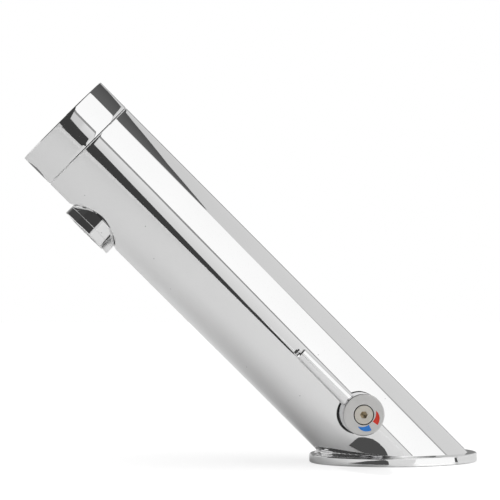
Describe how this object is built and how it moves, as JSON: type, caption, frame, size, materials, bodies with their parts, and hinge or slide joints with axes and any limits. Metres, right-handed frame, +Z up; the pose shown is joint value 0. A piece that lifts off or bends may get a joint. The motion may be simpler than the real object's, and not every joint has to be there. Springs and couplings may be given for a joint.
{
  "type": "touchless basin tap",
  "caption": "Touchless basin tap: leaning round tube on an oval foot, sensor in the head, aerator below it and a side knob with a lever rod for the temperature.",
  "frame": {"origin": "centre of the foot's underside, where the tap sits on the basin", "axes": "+Z up, -X towards the outlet, -Y towards the knob side"},
  "size_m": [0.2068, 0.064, 0.1725],
  "materials": {
    "chrome": "polished",
    "satin_chrome": "satin face, polished side",
    "stainless": "turned",
    "brass": "machined",
    "rubber": "matt",
    "black_plastic": "fine moulded",
    "window": "dark, lets infrared through",
    "diode_clear": "clear moulding",
    "diode_dark": "dark moulding",
    "board": "coated glass fibre",
    "white_plastic": "fine moulded",
    "ceramic_white": "lapped",
    "ceramic_grey": "lapped",
    "red_enamel": "filled recess",
    "blue_enamel": "filled recess"
  },
  "bodies": {
    "tap": {"spout_body": "chrome", "head_cap": "chrome", "aerator_ring": "chrome", "shadow_ring": "chrome", "valve_screws": "stainless", "coil_nut": "stainless", "inlet_strainers": "stainless", "aerator_screen": "stainless", "outlet_pipe": "stainless", "plunger_spring": "stainless", "plunger_guide": "brass", "cartridge_housing": "brass", "gland_nut": "brass", "base_seal": "rubber", "cable_grommet": "rubber", "cap_seal": "rubber", "pipe_seals": "rubber", "aerator_washer": "rubber", "valve_seal": "rubber", "diaphragm": "rubber", "cartridge_seal": "rubber", "spindle_seal": "rubber", "outlet_nozzle": "black_plastic", "sensor_housing": "black_plastic", "solenoid_coil": "black_plastic", "sensor_window": "window", "infrared_emitter": "diode_clear", "infrared_receiver": "diode_dark", "sensor_board": "board", "valve_block": "white_plastic", "aerator_insert": "white_plastic", "fixed_disc": "ceramic_white"},
    "lever": {"temperature_knob": "satin_chrome", "lever_rod": "chrome", "knob_screw": "stainless", "hot_mark": "red_enamel", "cold_mark": "blue_enamel", "spindle": "brass", "moving_disc": "ceramic_grey"},
    "plunger": {"plunger": "stainless"}
  },
  "joints": [
    {"name": "temperature_turn", "type": "hinge", "parent": "tap", "child": "lever", "pos_m": [-0.02007, 0, 0.02447], "axis": [0, -1, 0], "range_deg": [-45, 45]},
    {"name": "plunger_lift", "type": "slide", "parent": "tap", "child": "plunger", "axis": [-0.7071, 0, 0.7071], "range_m": [0, 0.0018], "stiffness_N_per_m": 400, "springref_m": -0.003, "deforming": ["plunger_spring"]}
  ]
}
